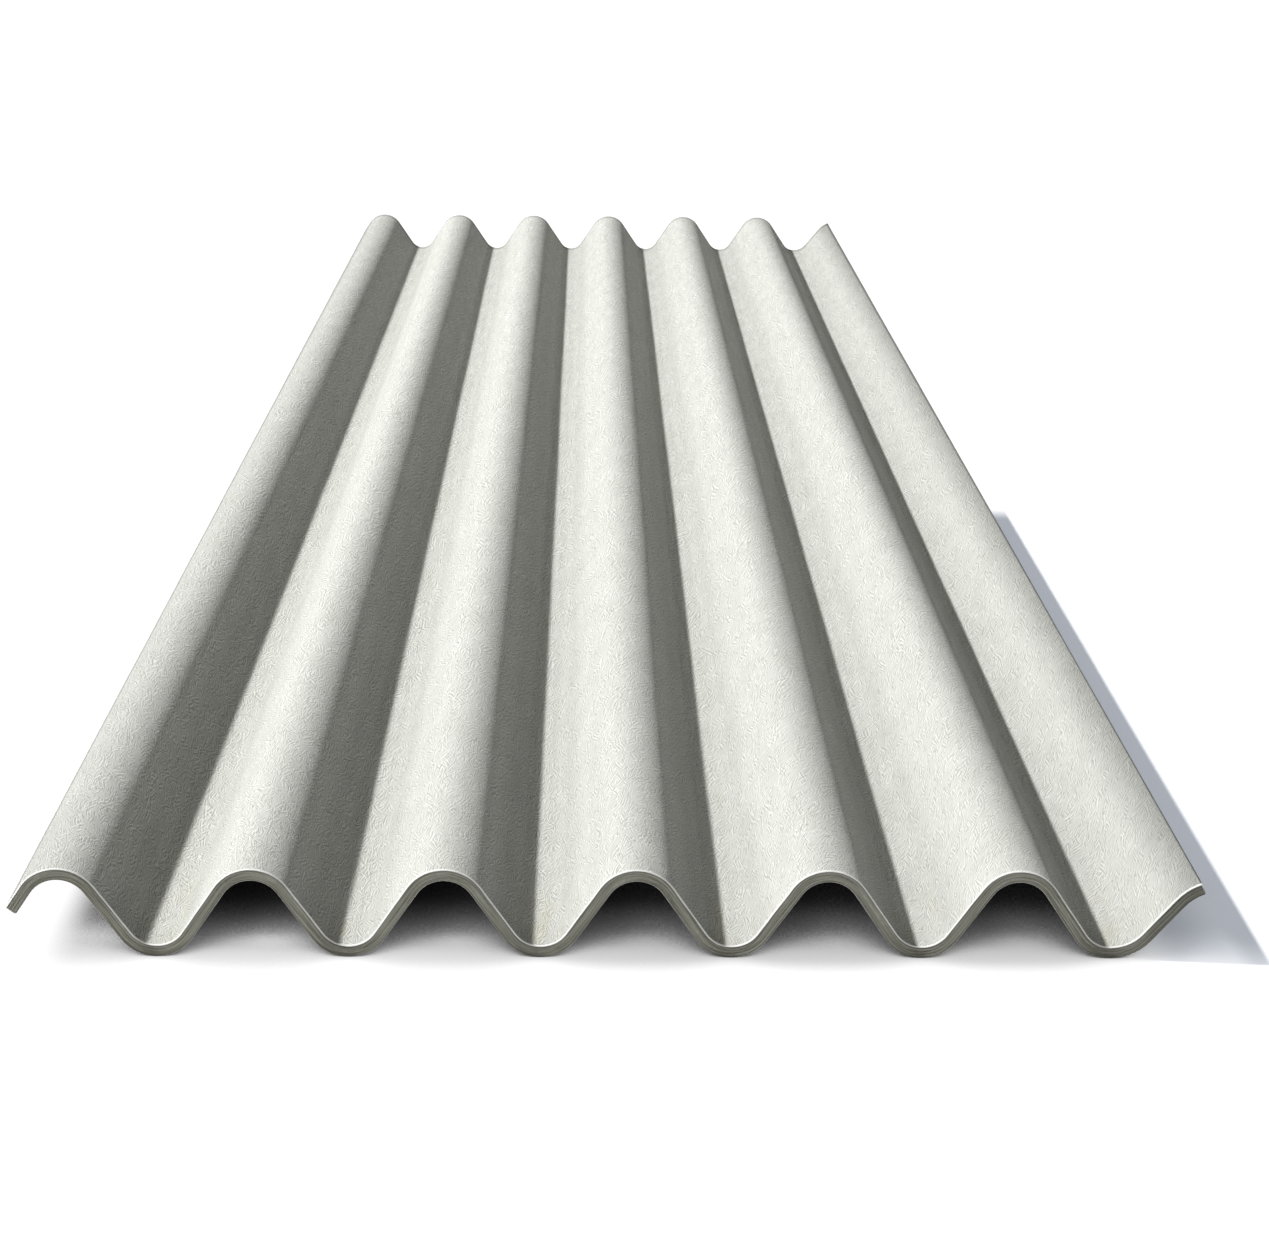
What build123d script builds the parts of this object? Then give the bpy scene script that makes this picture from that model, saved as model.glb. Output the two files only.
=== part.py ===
from build123d import *
import os
from math import asin, atan2, cos, degrees, hypot, radians, sin

# Corrugated asbestos cement sheet: one moulded piece, lying as it lies on a roof.
# X is its width, across the corrugations. Y is its length, along them. Z is up.
# The origin is the middle of the floor under the sheet: the troughs stand on Z = 0.

# Driving dimensions in millimetres and degrees

sheet_length = 3050.0
sheet_thickness = 9.5

# The corrugation, measured on the upper surface from trough to crest
pitch = 146.0
wave_height = 64.0
crest_radius = 33.5
trough_radius = 23.0
full_crests = 6

# The covering edge stops partway down the left flank, and laps over the next sheet
covering_reach = 40.0

# The covered edge rises on the right in a lower, softer wave that slips under the next sheet
covered_height = 54.0
covered_trough_radius = 30.0
covered_crest_radius = 44.0
covered_flank_angle = 51.0
covered_lip_angle = 20.0

# Straight flank that touches a crest arc and a trough arc

half_pitch = pitch / 2
arc_centre_rise = wave_height - crest_radius - trough_radius
arc_centre_distance = hypot(half_pitch, arc_centre_rise)
arc_centre_slope = degrees(atan2(arc_centre_rise, half_pitch))
flank_turn = degrees(asin((crest_radius + trough_radius) / arc_centre_distance))
flank_angle = flank_turn + arc_centre_slope
flank_sine = sin(radians(flank_angle))
flank_cosine = cos(radians(flank_angle))
flank_length = (half_pitch - (crest_radius + trough_radius) * flank_sine) / flank_cosine

# Covering edge: what is left of the flank beyond the first crest

covering_flank_length = (covering_reach - crest_radius * flank_sine) / flank_cosine
covering_drop = crest_radius * (1 - flank_cosine) + covering_flank_length * flank_sine

# Covered edge: its own trough arc, flank and crest arc

covered_sine = sin(radians(covered_flank_angle))
covered_cosine = cos(radians(covered_flank_angle))
lip_sine = sin(radians(covered_lip_angle))
lip_cosine = cos(radians(covered_lip_angle))
covered_trough_rise = covered_trough_radius * (1 - covered_cosine)
covered_crest_rise = covered_crest_radius * (lip_cosine - covered_cosine)
covered_flank_length = (covered_height - covered_trough_rise - covered_crest_rise) / covered_sine
covered_reach = (
    covered_trough_radius * covered_sine
    + covered_flank_length * covered_cosine
    + covered_crest_radius * (covered_sine - lip_sine)
)

# Both side edges are cut square to the surface, so the lip's lower corner stands out furthest

crest_span = (full_crests - 1) * pitch
sheet_width = covering_reach + crest_span + half_pitch + covered_reach + sheet_thickness * lip_sine
left_edge_height = sheet_thickness + wave_height - covering_drop


def straight_on(path, length):
    """Continue the section from the end of path, straight on in its own direction."""
    return PolarLine(path @ 1, length, direction=path % 1)


def turn(path, radius, angle):
    """Continue the section from the end of path round an arc, to the left when angle is positive."""
    return JernArc(path @ 1, path % 1, radius, angle)


with BuildPart() as corrugated_sheet:
    with BuildSketch(Plane.XZ):
        with BuildLine():
            edge_start = (-sheet_width / 2, left_edge_height)
            flank = PolarLine(edge_start, covering_flank_length, flank_angle)
            for crest in range(full_crests):
                crest_arc = turn(flank, crest_radius, -2 * flank_angle)
                falling_flank = straight_on(crest_arc, flank_length)
                if crest < full_crests - 1:
                    trough_arc = turn(falling_flank, trough_radius, 2 * flank_angle)
                    flank = straight_on(trough_arc, flank_length)
            last_trough = turn(falling_flank, trough_radius, flank_angle)
            covered_trough = turn(last_trough, covered_trough_radius, covered_flank_angle)
            covered_flank = straight_on(covered_trough, covered_flank_length)
            lip_turn = covered_lip_angle - covered_flank_angle
            turn(covered_flank, covered_crest_radius, lip_turn)
            offset(amount=sheet_thickness, side=Side.RIGHT)
        make_face()
    extrude(amount=sheet_length / 2, both=True)

corrugated_sheet.part.label = "corrugated_sheet"

os.makedirs("parts", exist_ok=True)
export_step(corrugated_sheet.part, "parts/corrugated_sheet.step")
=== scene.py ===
from math import asin, atan2, ceil, cos, e, hypot, pi, radians, sin, tan

import bpy
import numpy as np
from mathutils import Matrix, Vector, noise


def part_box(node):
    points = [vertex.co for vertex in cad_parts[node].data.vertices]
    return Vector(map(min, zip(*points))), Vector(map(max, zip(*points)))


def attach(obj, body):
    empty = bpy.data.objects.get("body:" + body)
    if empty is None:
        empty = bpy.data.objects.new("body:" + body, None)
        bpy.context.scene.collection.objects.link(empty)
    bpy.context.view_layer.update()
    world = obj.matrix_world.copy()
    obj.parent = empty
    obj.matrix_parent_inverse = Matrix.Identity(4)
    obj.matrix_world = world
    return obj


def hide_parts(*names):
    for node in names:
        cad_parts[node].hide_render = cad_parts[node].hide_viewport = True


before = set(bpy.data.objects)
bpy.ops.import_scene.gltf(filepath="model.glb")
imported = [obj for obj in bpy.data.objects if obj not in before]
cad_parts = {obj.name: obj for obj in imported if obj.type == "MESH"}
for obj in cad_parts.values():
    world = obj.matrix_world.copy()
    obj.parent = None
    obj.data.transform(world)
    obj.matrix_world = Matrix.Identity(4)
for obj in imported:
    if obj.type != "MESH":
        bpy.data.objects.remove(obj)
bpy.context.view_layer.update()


# The corrugated sheet is one piece of asbestos cement, laid up wet in thin plies, pressed
# between felts over a corrugated former and cured. Its two ends are sawn square and its two
# long edges are trimmed square to the surface. It lies on its troughs.

sheet_low, sheet_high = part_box("corrugated_sheet")
sheet_thickness = 0.0095
pitch = 0.146
wave_height = 0.064
crest_radius = 0.0335
trough_radius = 0.023
full_crests = 6
covering_reach = 0.040
covered_height = 0.054
covered_trough_radius = 0.030
covered_crest_radius = 0.044
covered_flank_angle = radians(51)
covered_lip_angle = radians(20)

half_pitch = pitch / 2
arc_centre_rise = wave_height - crest_radius - trough_radius
arc_centre_distance = hypot(half_pitch, arc_centre_rise)
flank_turn = asin((crest_radius + trough_radius) / arc_centre_distance)
flank_angle = flank_turn + atan2(arc_centre_rise, half_pitch)
flank_sine = sin(flank_angle)
flank_length = (half_pitch - (crest_radius + trough_radius) * flank_sine) / cos(flank_angle)
covering_flank_length = (covering_reach - crest_radius * flank_sine) / cos(flank_angle)
covering_drop = crest_radius * (1 - cos(flank_angle)) + covering_flank_length * flank_sine
covered_trough_rise = covered_trough_radius * (1 - cos(covered_flank_angle))
covered_crest_rise = covered_crest_radius * (cos(covered_lip_angle) - cos(covered_flank_angle))
covered_flank_rise = covered_height - covered_trough_rise - covered_crest_rise
covered_flank_length = covered_flank_rise / sin(covered_flank_angle)


def section_runs():
    """The upper surface from covering edge to covered edge: (length, 0) or (radius, bend)."""
    runs = [(covering_flank_length, 0.0)]
    for crest in range(full_crests):
        runs.append((crest_radius, -2 * flank_angle))
        runs.append((flank_length, 0.0))
        if crest < full_crests - 1:
            runs.append((trough_radius, 2 * flank_angle))
            runs.append((flank_length, 0.0))
    runs.append((trough_radius, flank_angle))
    runs.append((covered_trough_radius, covered_flank_angle))
    runs.append((covered_flank_length, 0.0))
    runs.append((covered_crest_radius, covered_lip_angle - covered_flank_angle))
    return runs


def section_stations(flat_step, arc_step):
    """Points across the upper surface: x, height, slope and distance round the section."""
    x = sheet_low[0]
    z = sheet_thickness + wave_height - covering_drop
    slope = flank_angle
    travelled = 0.0
    found = [(x, z, slope, travelled)]
    for size, bend in section_runs():
        steps = ceil(abs(bend) / arc_step) if bend else ceil(size / flat_step)
        for _ in range(steps):
            if bend:
                side = 1 if bend > 0 else -1
                turned = slope + bend / steps
                x += side * size * (sin(turned) - sin(slope))
                z -= side * size * (cos(turned) - cos(slope))
                travelled += size * abs(bend) / steps
                slope = turned
            else:
                x += size / steps * cos(slope)
                z += size / steps * sin(slope)
                travelled += size / steps
            found.append((x, z, slope, travelled))
    return found


stations = section_stations(flat_step=0.0065, arc_step=radians(7.5))
station_count = len(stations)
last_station = station_count - 1
half_length = sheet_high[1]
half_width = sheet_high[0]
middle_height = (sheet_thickness + wave_height) / 2

# The sawn ends keep a narrow rubbed arris above and a sharper one below
upper_arris_radius = 0.00074
lower_arris_radius = 0.0004
arris_turns = (90, 66, 44, 22, 0)
arris_border = 0.0003
trimmed_corner_radius = 0.0010
worn_corner_radius = 0.0016
corner_turns = (0, 30, 60, 90)
sawn_depths = (0.0026, 0.0040, 0.0054, 0.0068, 0.0081)

# Rows along the sheet: close together at the sawn ends, wide apart between them
end_steps = (0.0019, 0.0028, 0.005, 0.009, 0.015, 0.023)
row_step = 0.027
middle_reach = half_length - end_steps[-1]
middle_rows = np.linspace(-middle_reach, middle_reach, ceil(2 * middle_reach / row_step) + 1)
near_rows = [step - half_length for step in end_steps[:-1]]
row_places = near_rows + list(middle_rows) + [-y for y in reversed(near_rows)]


def edge_corner(station, radius, centre_depth, side, first_turn):
    """Round a corner of a trimmed edge: (station, reach, depth, two shares of the end arris)."""
    corner = []
    for step in corner_turns:
        turn = radians(first_turn + step)
        reach = side * radius * (sin(turn) - 1)
        depth = centre_depth - radius * cos(turn)
        corner.append((station, reach, depth, -side * sin(turn), cos(turn)))
    return corner


def ring_outline():
    """The closed outline of the section, over the top and back underneath."""
    top = [(i, 0.0, 0.0, 0.0, 1.0) for i in range(1, last_station)]
    bottom = [(i, 0.0, sheet_thickness, 0.0, -1.0) for i in range(last_station - 1, 0, -1)]
    lower_centre = sheet_thickness - trimmed_corner_radius
    worn_centre = sheet_thickness - worn_corner_radius
    right = edge_corner(last_station, trimmed_corner_radius, trimmed_corner_radius, 1, 0)
    right += edge_corner(last_station, trimmed_corner_radius, lower_centre, 1, 90)
    left = edge_corner(0, worn_corner_radius, worn_centre, -1, 0)
    left = [(i, reach, 2 * worn_centre - depth, x, -z) for i, reach, depth, x, z in left]
    upper_left = edge_corner(0, trimmed_corner_radius, trimmed_corner_radius, -1, 0)
    return top + right + bottom + left + upper_left[::-1]


ring = ring_outline()
ring_size = len(ring)
corner_count = len(corner_turns)
right_edge = range(station_count - 2, station_count - 2 + 2 * corner_count)
left_edge = range(ring_size - 2 * corner_count, ring_size)


def wander(x, y, size, seed):
    """Smooth irregularity between about -1 and 1, with swells of the given size."""
    return noise.noise(Vector((x / size, y / size, seed)))


# The wet sheet was laid by hand, so its waves stray a little from the true section
slump_height = 0.0005
slump_size = 0.16
stray_width = 0.0009
stray_size = 0.55
trim_wander = 0.0005
trim_size = 0.30
saw_mark_depth = 0.00016
saw_mark_size = 0.005
rub_share = 0.35
rub_size = 0.012
slump_seed, stray_seed, trim_seed, rub_seed, saw_mark_seed = 3.7, 8.2, 5.9, 2.3, 5.1

verts = []
unfolded = []
depth_share = []
arris = []
faces = []
face_material = []
skin_slot, sawn_slot = 0, 1


def add_vertex(station, reach, depth, y, on_arris):
    """Add a point by its station, reach past it and depth under the upper surface."""
    x, z, slope, travelled = stations[station]
    x += cos(slope) * reach + sin(slope) * depth
    z += sin(slope) * reach - cos(slope) * depth
    across = travelled + reach
    slump = 0.5 + 0.5 * wander(across, y, slump_size, slump_seed)
    z += (middle_height - z) / middle_height * slump_height * slump
    inner = 1 - (x / half_width) ** 2
    x += inner * stray_width * wander(across, y, stray_size, stray_seed)
    x -= x / half_width * trim_wander * (0.5 + 0.5 * wander(x, y, trim_size, trim_seed))
    verts.append((x, y, z))
    unfolded.extend((across, y, 0.0))
    depth_share.append(depth / sheet_thickness)
    arris.append(on_arris)
    return len(verts) - 1


def add_ring(y):
    """One ring of points round the section."""
    first = len(verts)
    for station, reach, depth, _, _ in ring:
        add_vertex(station, reach, depth, y, 0.0)
    return first


def add_arris_ring(end, turn, border=0.0):
    """One ring round a sawn end's arris, from 0 on the full section to 90 degrees on the face."""
    first = len(verts)
    for station, reach, depth, share_reach, share_depth in ring:
        travelled = stations[station][3]
        upper = depth < sheet_thickness / 2
        rub = 1 + rub_share * wander(travelled, end, rub_size, rub_seed)
        radius = rub * upper_arris_radius if upper else lower_arris_radius
        inset = radius * (1 - cos(turn)) + border
        y = end * (half_length - radius * (1 - sin(turn)))
        place_reach = reach + share_reach * inset
        place_depth = depth + share_depth * inset
        add_vertex(station, place_reach, place_depth, y, 1.0 if upper and not border else 0.0)
    return first


near_rings = [add_arris_ring(-1, pi / 2, arris_border)]
near_rings += [add_arris_ring(-1, radians(turn)) for turn in arris_turns]
plain_rings = [add_ring(y) for y in row_places]
far_rings = [add_arris_ring(1, radians(turn)) for turn in reversed(arris_turns)]
far_rings += [add_arris_ring(1, pi / 2, arris_border)]
rings = near_rings + plain_rings + far_rings

for lower, upper in zip(rings[:-1], rings[1:]):
    on_face = lower == rings[0] or upper == rings[-1]
    for i in range(ring_size):
        j = (i + 1) % ring_size
        faces.append((lower + i, lower + j, upper + j, upper + i))
        trimmed = i in right_edge[:-1] or i in left_edge[:-1]
        face_material.append(sawn_slot if trimmed or on_face else skin_slot)


def close_end(first, end):
    """The sawn face: small rough facets between the upper and the lower arris."""
    columns = []
    for station in range(1, last_station):
        travelled = stations[station][3]
        top = first + station - 1
        bottom = first + right_edge[-1] + last_station - station
        column = [top]
        for depth in sawn_depths:
            saw_mark = 0.5 + 0.5 * wander(travelled, depth, saw_mark_size, saw_mark_seed * end)
            y = end * (half_length - saw_mark_depth * saw_mark)
            column.append(add_vertex(station, 0.0, depth, y, 0.0))
        column.append(bottom)
        columns.append(column)
    for left, right in zip(columns[:-1], columns[1:]):
        for row in range(len(left) - 1):
            face = (left[row], left[row + 1], right[row + 1], right[row])
            faces.append(face if end < 0 else face[::-1])
            face_material.append(sawn_slot)
    right_cap = columns[-1] + [first + i for i in reversed(right_edge)]
    left_cap = columns[0][::-1] + [first + i for i in reversed(left_edge)]
    for cap in (right_cap, left_cap):
        faces.append(cap if end < 0 else cap[::-1])
        face_material.append(sawn_slot)


close_end(rings[0], -1)
close_end(rings[-1], 1)

mesh = bpy.data.meshes.new("corrugated_sheet_body")
mesh.from_pydata(verts, [], faces)
mesh.polygons.foreach_set("material_index", face_material)
mesh.polygons.foreach_set("use_smooth", [True] * len(faces))
unfolded_places = mesh.attributes.new("unfolded", "FLOAT_VECTOR", "POINT")
unfolded_places.data.foreach_set("vector", unfolded)
mesh.attributes.new("depth_share", "FLOAT", "POINT").data.foreach_set("value", depth_share)
mesh.attributes.new("arris", "FLOAT", "POINT").data.foreach_set("value", arris)

# The sawn faces meet their arrises at a hard line
edge_ends = np.empty(2 * len(mesh.edges), dtype=int)
mesh.edges.foreach_get("vertices", edge_ends)
edge_ends = edge_ends.reshape(-1, 2)
on_near_line = ((edge_ends >= rings[1]) & (edge_ends < rings[2])).all(1)
on_far_line = ((edge_ends >= rings[-2]) & (edge_ends < rings[-1])).all(1)
hard_line = mesh.attributes.new("sharp_edge", "BOOLEAN", "EDGE")
hard_line.data.foreach_set("value", on_near_line | on_far_line)
mesh.update()
sheet = bpy.data.objects.new("corrugated_sheet_body", mesh)
bpy.context.scene.collection.objects.link(sheet)


def add_node(tree, kind, settings=None, **inputs):
    """Add a node with its options, and link or set each input, named or numbered like _0."""
    node = tree.nodes.new(kind)
    for name, value in (settings or {}).items():
        setattr(node, name, value)
    for name, value in inputs.items():
        key = int(name[1:]) if name[1:].isdigit() else name.replace("_", " ")
        socket = node.inputs[key]
        if isinstance(value, bpy.types.NodeSocket):
            tree.links.new(value, socket)
        else:
            socket.default_value = value
    return node


def combine(tree, operation, first, second):
    node = add_node(tree, "ShaderNodeMath", {"operation": operation}, _0=first, _1=second)
    return node.outputs[0]


def product(tree, first, *others):
    for other in others:
        first = combine(tree, "MULTIPLY", first, other)
    return first


def rest_of(tree, share):
    """What a share leaves of a whole."""
    return combine(tree, "SUBTRACT", 1.0, share)


def ramp(tree, value, low, high, to_low=0.0, to_high=1.0):
    """Map a value smoothly from one range to another, held at both ends."""
    node = add_node(
        tree, "ShaderNodeMapRange", {"interpolation_type": "SMOOTHSTEP"},
        Value=value, From_Min=low, From_Max=high, To_Min=to_low, To_Max=to_high,
    )
    return node.outputs["Result"]


def placed(tree, vector, offset, size=(1, 1), angle=0.0):
    """Measure a place in cells of the given size, turned by an angle and moved by an offset."""
    node = add_node(
        tree, "ShaderNodeMapping", {"vector_type": "TEXTURE"},
        Vector=vector, Location=(*offset, 0), Rotation=(0, 0, angle), Scale=(*size, 1),
    )
    return node.outputs["Vector"]


def cloudy(tree, vector, detail=0.0, roughness=0.5):
    node = add_node(
        tree, "ShaderNodeTexNoise", {"noise_dimensions": "2D"},
        Vector=vector, Scale=1.0, Detail=detail, Roughness=roughness,
    )
    return node.outputs["Fac"]


def blend(tree, share, first, second):
    node = add_node(tree, "ShaderNodeMix", {"data_type": "RGBA"}, _0=share, _6=first, _7=second)
    return node.outputs[2]


def shaded(tree, colour, level):
    node = add_node(
        tree, "ShaderNodeMix", {"data_type": "RGBA", "blend_type": "MULTIPLY"},
        _0=1.0, _6=colour, _7=level,
    )
    return node.outputs[2]


def build_felt_marks():
    """Node group: the short curled strokes that felt and fibres leave in the wet cement."""
    group = bpy.data.node_groups.new("felt_marks", "ShaderNodeTree")
    group.interface.new_socket("Vector", in_out="INPUT", socket_type="NodeSocketVector")
    for name in ("Strokes", "Shade", "Pits"):
        group.interface.new_socket(name, in_out="OUTPUT", socket_type="NodeSocketFloat")
    source = group.nodes.new("NodeGroupInput").outputs["Vector"]
    sink = group.nodes.new("NodeGroupOutput")

    # The felt ran along the sheet and drew its marks out that way
    felt_draw = (1, 2)
    bends_in_metre = 60.0
    bend_reach = 0.0045
    drawn = placed(group, source, (0, 0), felt_draw)
    bend = add_node(
        group, "ShaderNodeTexNoise", {"noise_dimensions": "2D"},
        Vector=drawn, Scale=bends_in_metre, Detail=0.0,
    )
    centred = add_node(
        group, "ShaderNodeVectorMath", {"operation": "SUBTRACT"},
        _0=bend.outputs["Color"], _1=(0.5, 0.5, 0.5),
    )
    bent = add_node(
        group, "ShaderNodeVectorMath", {"operation": "SCALE"}, _0=centred.outputs[0], Scale=bend_reach
    )
    curled = add_node(
        group, "ShaderNodeVectorMath", {"operation": "ADD"}, _0=drawn, _1=bent.outputs[0]
    ).outputs[0]

    # Each stroke is a low ridge in the relief, and its Shade paints a highlight along one side and a
    # shade along the other
    stroke_size = (0.0065, 0.0010)
    stroke_angles = (28, 48, 63, 78, 118)
    stroke_height = (0.52, 0.70)
    patch_size = (0.008, 0.008)
    patch_edge = (0.50, 0.62)
    shade_shift = 0.0006
    strokes = shade = None
    for layer, angle in enumerate(stroke_angles):
        offset = (0.37 * layer + 0.11, 0.61 * layer + 0.23)
        turn = radians(angle)
        beside = (offset[0] + shade_shift * sin(turn), offset[1] - shade_shift * cos(turn))
        line = cloudy(group, placed(group, curled, offset, stroke_size, turn))
        line_beside = cloudy(group, placed(group, curled, beside, stroke_size, turn))
        patch = ramp(group, cloudy(group, placed(group, drawn, offset, patch_size)), *patch_edge)
        height = product(group, ramp(group, line, *stroke_height), patch)
        slant = product(group, combine(group, "SUBTRACT", line_beside, line), patch)
        strokes = height if strokes is None else combine(group, "ADD", strokes, height)
        shade = slant if shade is None else combine(group, "ADD", shade, slant)

    # A few pits show where a fibre or an air bubble has come away
    pit_cells_in_metre = 80.0
    pit_reach = (0.05, 0.13, 1.0, 0.0)
    cells_with_pits = (0.80, 0.95)
    cells = add_node(
        group, "ShaderNodeTexVoronoi", {"voronoi_dimensions": "2D"},
        Vector=source, Scale=pit_cells_in_metre,
    )
    chosen = add_node(group, "ShaderNodeSeparateColor", Color=cells.outputs["Color"])
    pits = product(
        group,
        ramp(group, cells.outputs["Distance"], *pit_reach),
        ramp(group, chosen.outputs[0], *cells_with_pits),
    )
    group.links.new(strokes, sink.inputs["Strokes"])
    group.links.new(shade, sink.inputs["Shade"])
    group.links.new(pits, sink.inputs["Pits"])
    return group


felt_marks = build_felt_marks()

cement_pale = (0.545, 0.551, 0.514, 1)
cement_grey = (0.510, 0.516, 0.481, 1)
cement_dull = (0.495, 0.500, 0.464, 1)
pit_shade = (0.240, 0.240, 0.205, 1)
lime_stain = (0.480, 0.440, 0.325, 1)
arris_painted_highlight = (0.860, 0.865, 0.830, 1)

skin = bpy.data.materials.new("pressed_cement_skin")
skin.use_nodes = True
tree = skin.node_tree
shader = tree.nodes["Principled BSDF"]
flat = add_node(tree, "ShaderNodeAttribute", {"attribute_name": "unfolded"}).outputs["Vector"]
on_arris = add_node(tree, "ShaderNodeAttribute", {"attribute_name": "arris"}).outputs["Fac"]
places = add_node(tree, "ShaderNodeTexCoord").outputs
place_axes = add_node(tree, "ShaderNodeSeparateXYZ", Vector=places["Object"]).outputs
facing = add_node(tree, "ShaderNodeSeparateXYZ", Vector=places["Normal"]).outputs["X"]

# The felt's marks and the grain grow coarser toward the far end, in step with the distance
# from a line that lies before the near end
fine_line = -3.2
fine_distance = 1.7
blank_middle = 0.63
coarseness = combine(tree, "SUBTRACT", place_axes["Y"], fine_line)
coarseness = combine(tree, "DIVIDE", coarseness, fine_distance)
flat_axes = add_node(tree, "ShaderNodeSeparateXYZ", Vector=flat).outputs
across = combine(tree, "SUBTRACT", flat_axes["X"], blank_middle)
along = combine(tree, "LOGARITHM", coarseness, e)
drawn_out = add_node(
    tree, "ShaderNodeCombineXYZ",
    X=combine(tree, "DIVIDE", across, coarseness), Y=product(tree, along, fine_distance),
).outputs[0]
marks = tree.nodes.new("ShaderNodeGroup")
marks.node_tree = felt_marks
tree.links.new(drawn_out, marks.inputs["Vector"])
strokes, pits = marks.outputs["Strokes"], marks.outputs["Pits"]

# The painted light and shade of the marks is strongest beside the covering edge and at the near end.
# Each named set of numbers holds two readings, and the levels that they turn into where those aren't 0
# and 1.
depth_across = (-half_width, half_width, 0.265, 0.215)
depth_along = (-0.6, 1.3, 1.15, 0.62)
shade_to_level = (-0.36, 0.36, -1.0, 1.0)
stroke_depth = product(
    tree, ramp(tree, place_axes["X"], *depth_across), ramp(tree, place_axes["Y"], *depth_along)
)
stroke_painted_shading = product(tree, ramp(tree, marks.outputs["Shade"], *shade_to_level), stroke_depth)
stroke_painted_shading = combine(tree, "ADD", stroke_painted_shading, 1.0)

mottle_size = (0.030, 0.060)
mottle_spread = (0.30, 0.70)
grain_size = (0.0022, 0.0044)
grain_share = (0.25, 0.75, 0.15, 0.60)
blotch_size = (0.010, 0.045)
mottle = cloudy(tree, placed(tree, flat, (3.1, 5.7), mottle_size), 3.0, 0.6)
grain = cloudy(tree, placed(tree, drawn_out, (8.3, 1.9), grain_size), 2.0, 0.6)
blotch = cloudy(tree, placed(tree, flat, (2.6, 7.4), blotch_size), 2.0, 0.5)
colour = blend(tree, ramp(tree, mottle, *mottle_spread), cement_dull, cement_pale)
colour = blend(tree, ramp(tree, grain, *grain_share), colour, cement_grey)

# The far half has weathered in blotches
blotch_along = (-1.2, 1.3, 0.0, 0.26)
blotch_share = ramp(tree, place_axes["Y"], *blotch_along)
blotch_level = product(tree, combine(tree, "SUBTRACT", blotch, 0.5), blotch_share)
blotch_level = combine(tree, "ADD", blotch_level, 1.0)

# Painted shade dulls the foot of the flanks that face left and darkens the foot of those that face
# right, which are painted paler toward the crest
lit_foot_shade_by_facing = (-0.25, 0.05, 1.0, 0.3)
lit_foot_shade_by_height = (0.016, 0.046, 0.16, -0.03)
lee_shade_by_facing = (0.25, 0.75)
lee_shade_along = (-half_length, half_length, 1.0, 0.45)
lee_shade_by_height = (0.028, 0.064, 0.38, -0.12)
lit_foot_painted_shade = product(
    tree, ramp(tree, facing, *lit_foot_shade_by_facing), ramp(tree, place_axes["Z"], *lit_foot_shade_by_height)
)
lee_painted_light_and_shade = product(
    tree,
    ramp(tree, facing, *lee_shade_by_facing),
    ramp(tree, place_axes["Y"], *lee_shade_along),
    ramp(tree, place_axes["Z"], *lee_shade_by_height),
)
foot_painted_shade = product(tree, rest_of(tree, lit_foot_painted_shade), rest_of(tree, lee_painted_light_and_shade))

# Painted shade darkens the strips beside the two long edges, and a painted light brightens a strip a
# little in from the covered edge
covered_painted_shade = (half_width - 0.044, half_width, 1.0, 0.46)
covering_painted_shade = (0.010 - half_width, 0.062 - half_width, 0.76, 1.0)
covered_painted_light = (half_width - 0.11, half_width - 0.07, 1.0, 1.05)

# Painted shade darkens the rims of the two long edges, in a line that widens toward the far end, and a
# narrow band at the far end
covered_rim = half_width - sheet_thickness * sin(covered_lip_angle)
covered_rim_width = (-half_length, half_length, 0.0016, 0.0046)
covering_rim_width = (-half_length, half_length, 0.007, 0.017)
covered_rim_fade = (0.5, 1.2, 0.48, 1.0)
covering_rim_fade = (0.7, 1.3, 0.64, 1.0)
far_rim_fade = (half_length - 0.026, half_length - 0.010, 1.0, 0.68)
from_covered = combine(
    tree, "DIVIDE",
    combine(tree, "SUBTRACT", covered_rim, place_axes["X"]),
    ramp(tree, place_axes["Y"], *covered_rim_width),
)
from_covering = combine(
    tree, "DIVIDE",
    combine(tree, "ADD", half_width, place_axes["X"]),
    ramp(tree, place_axes["Y"], *covering_rim_width),
)
edge_painted_shade = product(
    tree,
    ramp(tree, place_axes["X"], *covered_painted_shade),
    ramp(tree, place_axes["X"], *covering_painted_shade),
    ramp(tree, place_axes["X"], *covered_painted_light),
    ramp(tree, from_covered, *covered_rim_fade),
    ramp(tree, from_covering, *covering_rim_fade),
    ramp(tree, place_axes["Y"], *far_rim_fade),
)

# Lime has run down into the troughs and dried there, most of it at the near end
trough_heights = (0.010, 0.032, 1.0, 0.0)
near_end = (0.012 - half_length, 0.14 - half_length, 1.0, 0.18)
stain_size = (0.022, 0.070)
stain_spread = (0.48, 0.72, 0.0, 0.4)
stain_cloud = cloudy(tree, placed(tree, flat, (5.0, 3.0), stain_size), 3.0, 0.6)
stain = product(
    tree,
    ramp(tree, place_axes["Z"], *trough_heights),
    ramp(tree, stain_cloud, *stain_spread),
    ramp(tree, place_axes["Y"], *near_end),
)
pit_darkness = 0.5
colour = blend(tree, stain, colour, lime_stain)
colour = shaded(tree, colour, stroke_painted_shading)
colour = shaded(tree, colour, blotch_level)
colour = shaded(tree, colour, product(tree, foot_painted_shade, edge_painted_shade))
# The pits are painted dark as well as sunk in the relief: a painted shade in them
colour = blend(tree, product(tree, pits, pit_darkness), colour, pit_shade)
# The upper arris is painted pale: a painted highlight along each sawn end
colour = blend(tree, on_arris, colour, arris_painted_highlight)
tree.links.new(colour, shader.inputs["Base Color"])
shader.inputs["Roughness"].default_value = 0.86
shader.inputs["Specular IOR Level"].default_value = 0.3

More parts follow.
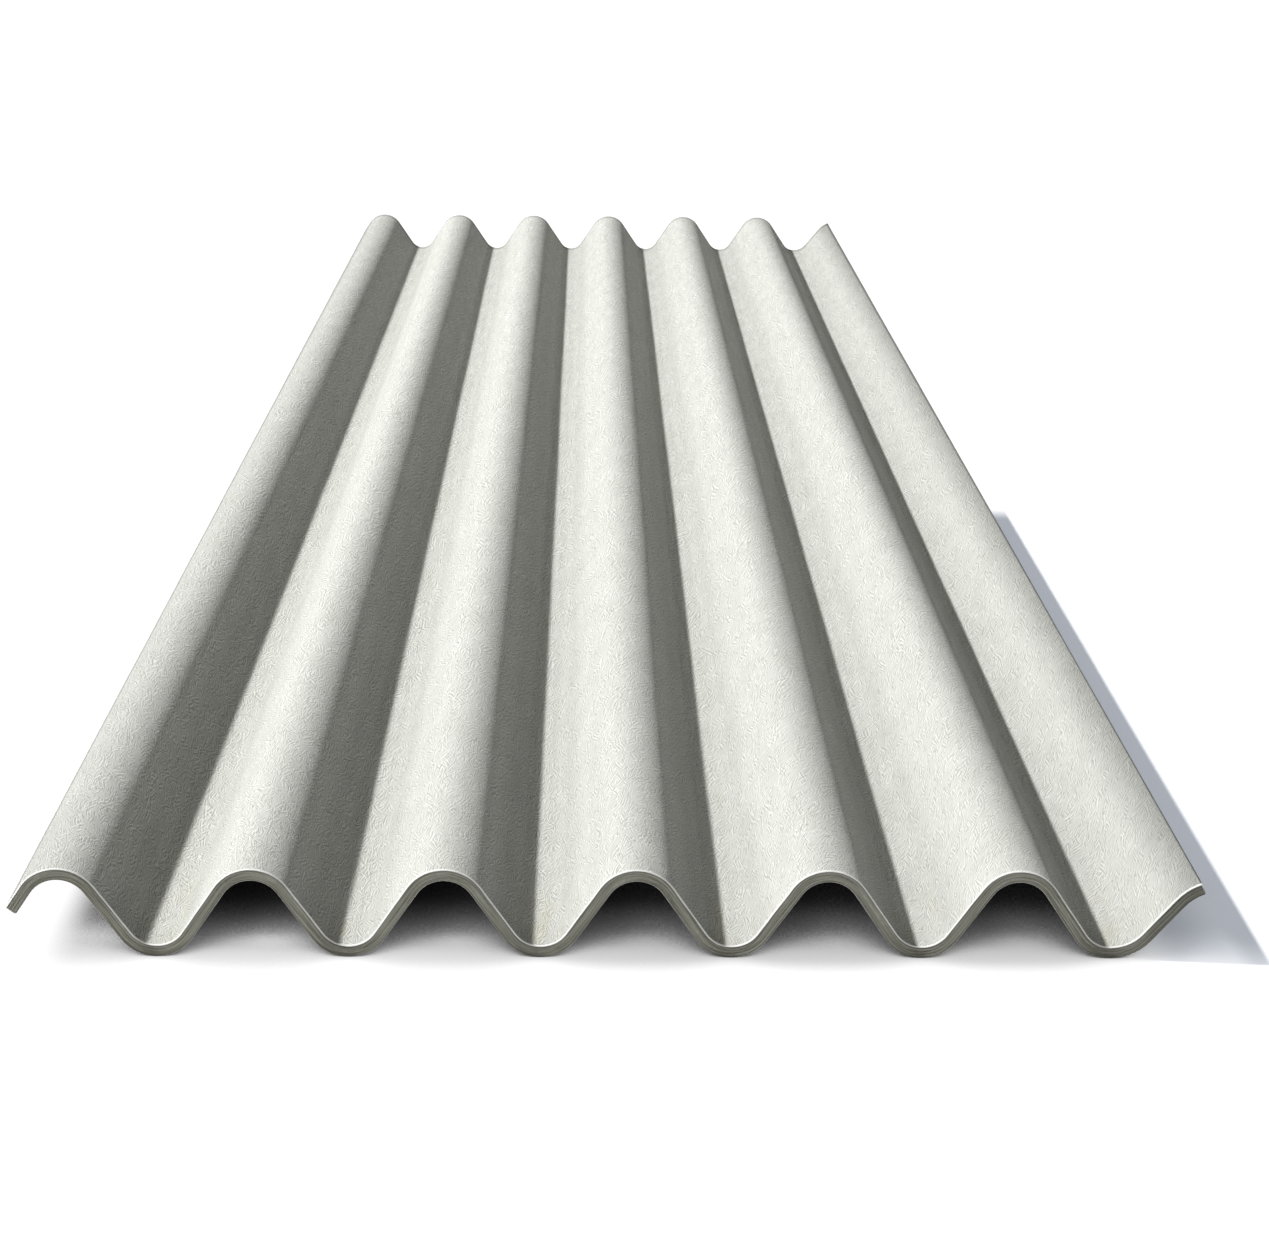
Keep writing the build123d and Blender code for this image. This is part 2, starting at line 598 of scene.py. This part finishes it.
pit_depth = 1.5
grain_height = 0.35
arris_smoothness = (0.0, 0.5, 1.0, 0.0)
relief_along = (-0.1, 1.3, 1.0, 0.45)
relief = combine(tree, "SUBTRACT", strokes, product(tree, pits, pit_depth))
relief = combine(tree, "ADD", relief, product(tree, grain, grain_height))
relief = product(
    tree, relief,
    ramp(tree, place_axes["Y"], *relief_along), ramp(tree, on_arris, *arris_smoothness),
)
bump = add_node(tree, "ShaderNodeBump", Height=relief, Strength=1.0, Distance=0.00013)
tree.links.new(bump.outputs["Normal"], shader.inputs["Normal"])

# The sawn faces show the thin plies, darker and rougher than the pressed skin, their darkness partly
# their own colour and partly painted shade
ply_pale = (0.392, 0.392, 0.338, 1)
ply_grey = (0.236, 0.237, 0.196, 1)
ply_dark = (0.104, 0.104, 0.082, 1)
sawn_edge_painted_shade = (0.060, 0.060, 0.045, 1)

sawn = bpy.data.materials.new("sawn_cement_face")
sawn.use_nodes = True
tree = sawn.node_tree
shader = tree.nodes["Principled BSDF"]
on_arris = add_node(tree, "ShaderNodeAttribute", {"attribute_name": "arris"}).outputs["Fac"]
share = add_node(tree, "ShaderNodeAttribute", {"attribute_name": "depth_share"}).outputs["Fac"]
place = add_node(tree, "ShaderNodeTexCoord").outputs["Object"]
place_axes = add_node(tree, "ShaderNodeSeparateXYZ", Vector=place).outputs
ply_cells_in_metre = 30.0
plies_in_thickness = 7.0
crumbs_in_metre = 500.0
ply_spread = (0.34, 0.66)
crumb_share = (0.30, 0.70, 0.25, 0.75)
under_arris = (0.10, 0.24, 0.65, 0.0)
lower_edge = (0.84, 0.97, 0.0, 0.8)
lip_painted_shade = (half_width - 0.09, half_width - 0.02, 1.0, 0.72)
along = combine(tree, "ADD", place_axes["X"], place_axes["Y"])
layered = add_node(
    tree, "ShaderNodeCombineXYZ",
    X=product(tree, along, ply_cells_in_metre), Y=product(tree, share, plies_in_thickness),
).outputs[0]
plies = cloudy(tree, layered, 2.0, 0.6)
crumbs = add_node(
    tree, "ShaderNodeTexNoise", Vector=place, Scale=crumbs_in_metre, Detail=2.0, Roughness=0.6
).outputs["Fac"]
colour = blend(tree, ramp(tree, plies, *ply_spread), ply_dark, ply_pale)
colour = blend(tree, ramp(tree, crumbs, *crumb_share), colour, ply_grey)
# Painted shade darkens the sawn face just under its upper arris and along its lower edge
sawn_edge_shade_share = combine(
    tree, "ADD", ramp(tree, share, *under_arris), ramp(tree, share, *lower_edge)
)
colour = blend(tree, sawn_edge_shade_share, colour, sawn_edge_painted_shade)
# Painted shade darkens the sawn face toward the covered edge
colour = shaded(tree, colour, ramp(tree, place_axes["X"], *lip_painted_shade))
# The upper arris is painted pale: a painted highlight along each sawn end
colour = blend(tree, on_arris, colour, arris_painted_highlight)
tree.links.new(colour, shader.inputs["Base Color"])
shader.inputs["Roughness"].default_value = 0.95
shader.inputs["Specular IOR Level"].default_value = 0.2
crumb_height = 0.8
relief = combine(tree, "ADD", plies, product(tree, crumbs, crumb_height))
bump = add_node(tree, "ShaderNodeBump", Height=relief, Strength=1.0, Distance=0.0004)
tree.links.new(bump.outputs["Normal"], shader.inputs["Normal"])

mesh.materials.append(skin)
mesh.materials.append(sawn)

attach(sheet, "root")
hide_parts("corrugated_sheet")


# The floor is plain and white. It stays white to the eye, with a painted soft shade in the sheet's
# hollows, set by how open the floor is to the room and by ramps by place, and the cool shadow that the
# lamp throws beyond the covered edge, partly real and partly painted.

floor_reach = 40.0
shadow_end = -0.29
floor_corners = [(x * floor_reach, y * floor_reach, 0) for x, y in ((-1, -1), (1, -1), (1, 1), (-1, 1))]
floor_mesh = bpy.data.meshes.new("studio_floor")
floor_mesh.from_pydata(floor_corners, [], [(0, 1, 2, 3)])
floor = bpy.data.objects.new("studio_floor", floor_mesh)
bpy.context.scene.collection.objects.link(floor)

white_paint = bpy.data.materials.new("white_floor_paint")
white_paint.use_nodes = True
tree = white_paint.node_tree
tree.nodes.clear()
output = tree.nodes.new("ShaderNodeOutputMaterial")
place = add_node(tree, "ShaderNodeTexCoord").outputs["Object"]
place_axes = add_node(tree, "ShaderNodeSeparateXYZ", Vector=place).outputs
from_axis = combine(tree, "ABSOLUTE", place_axes["X"], 0.0)
from_middle = combine(tree, "ABSOLUTE", place_axes["Y"], 0.0)
under_sheet = (half_width - 0.09, half_width - 0.02, 1.0, 0.0)
covered = ramp(tree, from_axis, *under_sheet)

# Each trough's left side is painted paler and its right side darker, a painted light as if it crept in
# under the sheet from the left front
first_trough = covering_reach + half_pitch - half_width
side_light_depth = (half_length - 0.045, half_length - 0.008, 1.0, 0.0)
past_trough = combine(tree, "SUBTRACT", place_axes["X"], first_trough)
painted_side_light = combine(tree, "SINE", product(tree, past_trough, -2 * pi / pitch), 0.0)
side_share = product(tree, painted_side_light, covered, ramp(tree, from_middle, *side_light_depth))
# The floor's glow is shaded by how open it is to the room: a painted shade from the sheet
openness = add_node(tree, "ShaderNodeAmbientOcclusion", {"samples": 8}, Distance=1.5).outputs["AO"]
shade = tree.nodes.new("ShaderNodeValToRGB")
tree.links.new(openness, shade.inputs["Fac"])
shade_steps = (
    (0.0, 0.0), (0.125, 0.12), (0.25, 0.52), (0.375, 0.64), (0.5, 0.68), (0.625, 0.79), (0.75, 1.0)
)
for _ in shade_steps[2:]:
    shade.color_ramp.elements.new(0.5)
for element, (place_on_ramp, level) in zip(shade.color_ramp.elements, shade_steps):
    element.position = place_on_ramp
    element.color = (level, level, level, 1)
# Deeper under the sheet the floor's shade is painted darker
inward_depth = (half_length - 0.125, half_length - 0.050, 1.0, 0.0)
inward_level = (0.0, 1.0, 1.0, 0.30)
side_level = (-1.0, 1.0, 0.74, 1.32)
inward = product(tree, ramp(tree, from_middle, *inward_depth), covered)

# Under the first crest a painted shade deepens softly toward the first trough
first_hollow_rise = (0.030 - half_width, 0.085 - half_width)
first_hollow_fall = (-0.01, 0.01, 1.0, 0.0)
first_hollow_depth = (half_length - 0.08, half_length, 0.46, 0.0)
first_hollow = product(
    tree,
    ramp(tree, place_axes["X"], *first_hollow_rise),
    ramp(tree, past_trough, *first_hollow_fall),
    ramp(tree, from_middle, *first_hollow_depth),
)

# The mouths of the hollows are painted paler on the left and duller on the right, a painted light and
# shade
pale_mouth_start = (half_length - 0.080, half_length - 0.045)
pale_mouth_end = (half_length - 0.040, half_length - 0.014, 1.0, 0.0)
pale_on_left = (-0.32, 0.05, 0.60, 0.0)
dull_mouth_start = (half_length - 0.045, half_length - 0.018)
dull_mouth_end = (half_length, half_length + 0.030, 1.0, 0.0)
dull_on_right = (-0.25, 0.10, 0.0, 0.18)
mouth_painted_light = product(
    tree, covered,
    ramp(tree, from_middle, *pale_mouth_start),
    ramp(tree, from_middle, *pale_mouth_end),
    ramp(tree, place_axes["X"], *pale_on_left),
)
mouth_painted_shade = product(
    tree, covered,
    ramp(tree, from_middle, *dull_mouth_start),
    ramp(tree, from_middle, *dull_mouth_end),
    ramp(tree, place_axes["X"], *dull_on_right),
)
mouth_level = combine(tree, "ADD", 1.0, combine(tree, "SUBTRACT", mouth_painted_light, mouth_painted_shade))
dark_level = product(
    tree,
    ramp(tree, inward, *inward_level),
    ramp(tree, side_share, *side_level),
    rest_of(tree, first_hollow),
    mouth_level,
)

# Beyond the covered edge the lamp's real shadow shows through a share of lit paint, with a painted cool
# shade over it; both fade toward the near end and stop partway along
tip_reach = (half_width + 0.025, half_width + 0.045, 0.0, 0.020)
near_fade = (-half_length - 0.058, 0.062 - half_length)
right_start = (half_width - 0.06, half_width - 0.01)
right_end = (half_width + 0.10, half_width + 0.25, 1.0, 0.0)
far_stop = (shadow_end - 0.04, shadow_end + 0.02, 1.0, 0.0)
past_near = combine(
    tree, "ADD", place_axes["Y"], ramp(tree, place_axes["X"], *tip_reach)
)
right_side = product(
    tree,
    ramp(tree, place_axes["X"], *right_start),
    ramp(tree, place_axes["X"], *right_end),
    ramp(tree, past_near, *near_fade),
    ramp(tree, place_axes["Y"], *far_stop),
)
lamp_shadow_share = 0.60
cool_white = (0.84, 0.90, 1.0, 1)
white = (1, 1, 1, 1)
glow_colour = shaded(tree, blend(tree, right_side, white, cool_white), dark_level)
glow_colour = shaded(tree, glow_colour, shade.outputs["Color"])

# The lamp reaches the floor under the covering edge, and the floor there is painted white over its
# shade
lit_strip = (0.012 - half_width, 0.052 - half_width, 1.0, 0.0)
glow_colour = blend(tree, ramp(tree, place_axes["X"], *lit_strip), glow_colour, white)

# Away from the sheet nothing shades the floor
eye_white = 1.08
near_across = (half_width + 0.30, half_width + 0.40, 1.0, 0.0)
near_along = (half_length + 0.30, half_length + 0.40, 1.0, 0.0)
near_sheet = product(
    tree, ramp(tree, from_axis, *near_across), ramp(tree, from_middle, *near_along)
)
glow = add_node(tree, "ShaderNodeEmission", Color=glow_colour, Strength=eye_white).outputs[0]
lit_paint = add_node(tree, "ShaderNodeBsdfDiffuse", Color=white).outputs[0]
shadow_share = product(tree, right_side, lamp_shadow_share)
shaded_floor = add_node(
    tree, "ShaderNodeMixShader", _0=shadow_share, _1=glow, _2=lit_paint
).outputs[0]
open_floor = add_node(tree, "ShaderNodeEmission", Color=white, Strength=eye_white).outputs[0]
seen = add_node(
    tree, "ShaderNodeMixShader", _0=near_sheet, _1=open_floor, _2=shaded_floor
).outputs[0]
plain_paint = add_node(tree, "ShaderNodeBsdfDiffuse", Color=(0.82, 0.82, 0.82, 1)).outputs[0]
path = tree.nodes.new("ShaderNodeLightPath").outputs
eye = combine(tree, "MAXIMUM", path["Is Camera Ray"], path["Is Glossy Ray"])
eye = combine(tree, "MAXIMUM", eye, path["Is Transmission Ray"])
paint = add_node(tree, "ShaderNodeMixShader", _0=eye, _1=plain_paint, _2=seen).outputs[0]
tree.links.new(paint, output.inputs["Surface"])
floor_mesh.materials.append(white_paint)


# One round lamp stands high on the left and lights the sheet across its waves. The room is dim
# and even, and looks white.

lamp_distance = 12.0
lamp_height = radians(50.3)
lamp_spread = radians(2.5)
lit_level = 5.05
lamp_data = bpy.data.lights.new("left_lamp", "AREA")
lamp_data.shape = "DISK"
lamp_data.size = 2 * lamp_distance * tan(lamp_spread / 2)
lamp_data.energy = lit_level * pi * lamp_distance ** 2
lamp = bpy.data.objects.new("left_lamp", lamp_data)
lamp.location = (-lamp_distance * cos(lamp_height), 0.0, lamp_distance * sin(lamp_height))
lamp.rotation_euler = (-lamp.location).to_track_quat("-Z", "Y").to_euler()
bpy.context.scene.collection.objects.link(lamp)

# A faint low light from the front picks out the sawn ends and their arrises
fill_data = bpy.data.lights.new("front_fill", "SUN")
fill_data.energy = 0.85
fill_data.angle = radians(20)
fill = bpy.data.objects.new("front_fill", fill_data)
fill_direction = Vector((0.0, 1.0, -0.07))
fill.rotation_euler = fill_direction.to_track_quat("-Z", "Y").to_euler()
bpy.context.scene.collection.objects.link(fill)

room = bpy.data.worlds.new("pale_room")
bpy.context.scene.world = room
room.use_nodes = True
tree = room.node_tree
backdrop = tree.nodes["Background"]
path = tree.nodes.new("ShaderNodeLightPath").outputs
eye = combine(tree, "MAXIMUM", path["Is Camera Ray"], path["Is Glossy Ray"])
eye = combine(tree, "MAXIMUM", eye, path["Is Transmission Ray"])
room_light = 0.015
tree.links.new(ramp(tree, eye, 0.0, 1.0, room_light, 1.0), backdrop.inputs["Strength"])
backdrop.inputs["Color"].default_value = (1, 1, 1, 1)


# The camera looks down the length of the sheet from behind its near end

photo_width = 1269
focal_pixels = 2394.2
camera_pitch = radians(18.758)
camera_yaw = radians(1.203)
camera_roll = radians(0.672)
camera_data = bpy.data.cameras.new("camera")
camera_data.sensor_width = 36.0
camera_data.lens = camera_data.sensor_width * focal_pixels / photo_width
camera_place = (-0.0167, -3.1775, 0.8344)
camera = bpy.data.objects.new("camera", camera_data)
camera.matrix_world = (
    Matrix.Translation(camera_place)
    @ Matrix.Rotation(-camera_yaw, 4, "Z")
    @ Matrix.Rotation(pi / 2 - camera_pitch, 4, "X")
    @ Matrix.Rotation(camera_roll, 4, "Z")
)
bpy.context.scene.collection.objects.link(camera)
bpy.context.scene.camera = camera
bpy.context.scene.view_settings.view_transform = "Standard"
